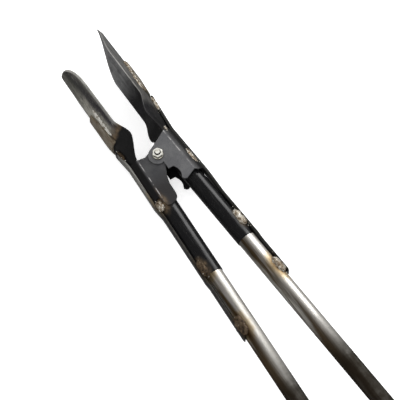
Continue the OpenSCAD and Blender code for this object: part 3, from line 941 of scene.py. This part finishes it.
# ---------------------------------------------------------------- welds
BEAD_STEP = 0.3 * MM
BEAD_POINTS = 30
BEAD_SINK = 1 * MM
RIPPLE_PITCH, RIPPLE_LAG, RIPPLE_DRIFT = 1.9 * MM, 1.6 * MM, 5 * MM
SWAY_SIZE, LUMP_SIZE, GRAIN_SIZE = 6 * MM, 4.2 * MM, 1.5 * MM
DROPS = 9


def over_shell(side, p):
    """Keeps a bead's point from reaching through the scoop's shell."""
    x, y, z = p.x - pivot.x, side.sign * (p.y - pivot.y), p.z - pivot.z
    if x > side.neck:
        y = max(y, side.back_y(x, z) - BEAD_SINK)
    return side.point(x, y, z)


def bead_mesh(side, bead, sz):
    """A lumpy weld bead on one edge of a bar, sz being 1 or -1, with a mask of its crests."""
    x0, x1, level, z, wide, thick, tilt, shine = bead
    a, b = side.point(x0, level(x0), sz * z), side.point(x1, level(x1), sz * z)
    run = (b - a).normalized()
    outward, upward = Vector((0, side.sign, 0)), Vector((0, 0, sz))
    lean = math.radians(tilt)
    broad = outward * math.cos(lean) - upward * math.sin(lean)
    thin = upward * math.cos(lean) + outward * math.sin(lean)
    seed = 31.7 * x0 / MM + 11.3 * sz + 5 * side.sign
    length = (b - a).length
    steps = max(30, int(length / BEAD_STEP))
    rings, crest = [], []
    for i in range(steps + 1):
        s = length * i / steps
        dome = math.sqrt(max(0.004, 1 - abs(2 * i / steps - 1) ** 3.2))
        sway = 0.14 * wide * noise.noise(Vector((s / SWAY_SIZE, seed, 4)))
        ring = []
        for k in range(BEAD_POINTS):
            angle = 2 * math.pi * k / BEAD_POINTS
            c, d = math.cos(angle), math.sin(angle)
            # The ripples are arcs that lag at the bead's edges
            uneven = 0.4 * noise.noise(Vector((s / RIPPLE_DRIFT, c, seed)))
            ripple = ((s + RIPPLE_LAG * c * c) / RIPPLE_PITCH + uneven) % 1.0
            lump = noise.noise(Vector((s / LUMP_SIZE, 1.3 * c, 1.3 * d + seed)))
            grain = noise.noise(Vector((s / GRAIN_SIZE, 3 * c, 3 * d + seed)))
            swell = dome * (1 + 0.2 * lump + 0.07 * grain + 0.07 * (ripple ** 0.6 - 0.5))
            p = a + run * s + broad * (c * wide * swell + sway) + thin * (d * thick * swell)
            ring.append(over_shell(side, p))
            crest.append(shine * clamp(0.35 + 0.4 * ripple + 0.4 * lump + 0.3 * grain))
        rings.append(ring)
    return *loop_sweep(rings), crest


def spatter(side, bead, sz):
    """Small drops that were thrown on to the bar and the tube beside a bead."""
    x0, x1, level, z, wide, thick = bead[:6]
    rng = np.random.default_rng(int(abs(x0) / MM) * 2 + (sz > 0))
    parts = []
    for _ in range(DROPS):
        x = mix(x0, x1, rng.uniform(-0.25, 1.25))
        r = rng.uniform(0.35, 0.85) * MM
        centre = side.point(x, level(x) + rng.uniform(-0.9, 0.7) * wide, sz * (z + 0.35 * thick))
        drop = bmesh.new()
        bmesh.ops.create_icosphere(drop, subdivisions=2, radius=r)
        verts = [centre + v.co * (1 + 0.25 * noise.noise(v.co / r + centre / MM)) for v in drop.verts]
        faces = [[v.index for v in face.verts] for face in drop.faces]
        parts.append((verts, faces, [0.7] * len(verts)))
        drop.free()
    return join_parts(parts)


def join_parts(parts):
    verts, faces, crest = [], [], []
    for v, f, c in parts:
        start = len(verts)
        verts += v
        faces += [tuple(start + i for i in face) for face in f]
        crest += c
    return verts, faces, crest


def make_welds(side, kind, material):
    """All the beads of one kind on one half. There is spatter beside them, but not on the plates."""
    parts = []
    for bead in side.beads[kind]:
        for sz in (1, -1):
            parts.append(bead_mesh(side, bead, sz))
            if kind != "plate":
                parts.append(spatter(side, bead, sz))
    verts, faces, crest = join_parts(parts)
    name = side.name + "_" + kind
    make_piece(name + "_beads", name + "_welds", verts, faces, material, 60.0, {"crest": crest})


# ---------------------------------------------------------------- pivot hardware and handle ends
def hex_mesh(bottom, inner, height, hollow=True):
    """A hex nut, or a bolt's head that isn't hollow: flat sides cut by a 30 degree cone."""
    face = HEX_AF / 2 - HEX_CHAMFER
    verts = []
    for s in range(HEX_SEGMENTS):
        a = 2 * math.pi * s / HEX_SEGMENTS
        sector = (a + math.pi / 6) % (math.pi / 3) - math.pi / 6
        flat = HEX_AF / 2 / math.cos(sector)
        drop = max(0.0, flat - face) * math.tan(math.radians(30))
        column = [
            (inner + HOLE_EASE, 0), (face, 0), (flat, drop), (flat, height - drop), (face, height),
            (inner + HOLE_EASE, height),
        ]
        if hollow:
            column += [(inner, height - HOLE_EASE), (inner, HOLE_EASE)]
        verts += [
            Vector((pivot.x + r * math.cos(a), pivot.y + r * math.sin(a), bottom + h)) for r, h in column
        ]
    return verts, lathe_faces(HEX_SEGMENTS, len(column), hollow)


def make_nut_and_bolt(zinc):
    low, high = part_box("pivot_bolt")
    nut_low, nut_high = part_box("pivot_nut")
    verts, faces = hex_mesh(nut_low.z, BOLT_R + PLAY, nut_high.z - nut_low.z)
    make_piece("lock_nut", "pivot_nut", verts, faces, zinc, 24.0)
    head_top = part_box("rear_washer")[0].z - low.z
    # Bolt: head, plain shank, and a threaded end of fine V grooves
    length, shank = high.z - low.z, nut_low.z - low.z - 1.5 * MM
    thread = []
    for i in range(int((length - shank) / THREAD_PITCH)):
        at = shank + i * THREAD_PITCH
        thread += [(at, BOLT_R - THREAD_DEPTH), (at + THREAD_PITCH / 2, BOLT_R)]
    profile = [
        (head_top, BOLT_R), (shank - 0.6 * MM, BOLT_R), *thread,
        (length - 0.7 * MM, BOLT_R - 0.2 * MM), (length, BOLT_R - 0.9 * MM),
    ]
    rod = turned(profile, Vector((pivot.x, pivot.y, low.z)), UP, segments=48, hollow=False)
    head = hex_mesh(low.z, 0.6 * MM, head_top, hollow=False)
    verts, faces, _ = join_parts([(*rod, []), (*head, [])])
    make_piece("hex_bolt", "pivot_bolt", verts, faces, zinc, 24.0)


def make_ring(name, node, material, round_off, sharp):
    """A washer or bush round the bolt."""
    low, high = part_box(node)
    profile = pipe_profile(high.z - low.z, (high.x - low.x) / 2, BOLT_R + PLAY, round_off)
    verts, faces = turned(profile, Vector((pivot.x, pivot.y, low.z)), UP, segments=64)
    make_piece(name, node, verts, faces, material, sharp)


# One rib of the grip: how far along its pitch, and how far below the grip's radius in mm
RIB = ((0.12, 0.25), (0.3, 0.0), (0.7, 0.0), (0.88, 0.25), (1.0, 0.9))
RIBS, RIB_PITCH, FIRST_RIB = 18, 6, 9


def make_grip(side, material):
    """Ribbed rubber grip with a rolled collar. Its profile is in mm along and below its radius."""
    inner, nose, last = TUBE_R + PLAY, GRIP_LEN / MM, FIRST_RIB + RIBS * RIB_PITCH
    outline = [
        (0.2, 0.8), (0.9, 0), (7, 0), (8, 0.5), (FIRST_RIB, 0.9),
        *((FIRST_RIB + (i + share) * RIB_PITCH, drop) for i in range(RIBS) for share, drop in RIB),
        (last + 1.5, 0.6), (last + 3, 0), (nose - 2.2, 0), (nose - 0.6, 0.7), (nose, 1.8),
    ]
    profile = [
        (0, inner + 0.6 * MM), *((at * MM, GRIP_R - drop * MM) for at, drop in outline),
        (GRIP_LEN, inner + 0.5 * MM), (GRIP_LEN - 1 * MM, inner), (1 * MM, inner),
    ]
    verts, faces = turned(profile, side.end + side.along * PLUG_LEN, side.along)
    make_piece(side.name + "_ribbed_grip", side.name + "_grip", verts, faces, material, 50.0)


def make_plug(side, material):
    """The plug that closes the tube: a flange, and a barbed shank inside the tube."""
    flange, bore = GRIP_R - 0.6 * MM, TUBE_R - TUBE_WALL
    profile = [
        (0.5 * MM, 0.4 * MM), (0.5 * MM, 6 * MM), (0, 7 * MM), (0, flange - 1.4 * MM),
        (0.4 * MM, flange - 0.5 * MM), (1.3 * MM, flange), (PLUG_LEN, flange), (PLUG_LEN, bore),
    ]
    for i in range(5):
        at = PLUG_LEN + (3 + 3 * i) * MM
        profile += [(at, bore - 0.1 * MM), (at + 0.6 * MM, bore - 0.5 * MM)]
    shank_end = PLUG_LEN + 18 * MM
    profile += [(shank_end, bore - 1 * MM), (shank_end, 0.4 * MM)]
    verts, faces = turned(profile, side.end, side.along, segments=72, hollow=False)
    make_piece(side.name + "_tube_plug", side.name + "_end_plug", verts, faces, material)


def weld_beads(side, kind, *rows):
    """rows: start and end x, how far out, height z, half width, half thickness (mm), tilt, shine."""
    levels = {
        "handle": lambda out: lambda x: side.off_axis(x, out),
        "plate": lambda out: lambda x: side.back_y(x, 20 * MM) + out,
        "front": lambda out: lambda x: side.spine_y(x) + out,
    }
    return [
        (x0 * MM, x1 * MM, levels[kind](out * MM), z * MM, wide * MM, thick * MM, tilt, shine)
        for x0, x1, out, z, wide, thick, tilt, shine in rows
    ]


RIGHT.beads = {
    "plate": weld_beads(
        RIGHT, "plate", (95, 122, -2.9, 28, 4.6, 2.6, 62, 0.92), (121, 133, -2.4, 26, 3.6, 2.8, 60, 0.85),
        (131, 151, -0.6, 22, 5.4, 3.6, 58, 0.8),
    ),
    "neck": [
        *weld_beads(RIGHT, "front", (62, 86, 0.9, 10.2, 3.3, 2.3, 40, 0.95)),
        *weld_beads(
            RIGHT, "handle", (-38, -11, 13.9, 12.0, 5.2, 2.6, 56, 0.9),
            (26, 32, 9.5, 17.4, 2.2, 1.8, 45, 1.0),
        ),
    ],
    "handle": weld_beads(
        RIGHT, "handle", (-153, -126, 10.8, 10.2, 5.8, 3.2, 22, 0.9),
        (-239, -213, 9.8, 9.6, 5.8, 3.2, 22, 0.85),
    ),
}
LEFT.beads = {
    "plate": weld_beads(LEFT, "plate", (60, 110, -1.9, 23.6, 3.6, 3.0, 58, 1.35)),
    "neck": [
        *weld_beads(LEFT, "front", (24, 41, -0.2, 10.0, 2.6, 2.0, 40, 0.2)),
        *weld_beads(LEFT, "handle", (-72, -55, 12.0, 10.4, 4.6, 3.2, 22, 0.85)),
    ],
    "handle": weld_beads(
        LEFT, "handle", (-185, -160, 10.6, 10.0, 5.0, 3.2, 20, 0.35),
        (-284, -254, 9.2, 9.8, 6.6, 3.2, 24, 0.35),
    ),
}


# ---------------------------------------------------------------- build
def build():
    make_camera()
    make_floor()
    make_light()
    weld, plate, zinc, rubber, plastic = (
        weld_metal(), plate_steel(), zinc_plate(), grip_rubber(), plug_plastic()
    )
    scoop_steel = {RIGHT: pointed_steel(), LEFT: rounded_steel()}
    for side in SIDES:
        make_scoop(side, scoop_steel[side])
        make_plate(side, plate)
        make_strap(side, strap_steel(side))
        make_bracket(side, bracket_paint(side))
        handle_pipe(
            side, "_sleeve_pipe", "_sleeve", -side.sleeve_back, side.neck - MM, SLEEVE_R, TUBE_R + PLAY,
            sleeve_black(side),
        )
        tube_end = (side.end - side.point(0, side.offset, 0)).length - PLUG_LEN
        handle_pipe(
            side, "_bare_tube", "_tube", -tube_end, TUBE_REACH, TUBE_R, TUBE_R - TUBE_WALL,
            tube_steel(side),
        )
        make_grip(side, rubber)
        make_plug(side, plastic)
    for side in SIDES:
        for kind in side.beads:
            make_welds(side, kind, weld)
    make_nut_and_bolt(zinc)
    make_ring("front_flat_washer", "front_washer", zinc, 0.25 * MM, 24.0)
    make_ring("rear_flat_washer", "rear_washer", zinc, 0.25 * MM, 24.0)
    make_ring("spacer_bush", "pivot_bush", bush_steel(), 0.4 * MM, 35.0)


build()
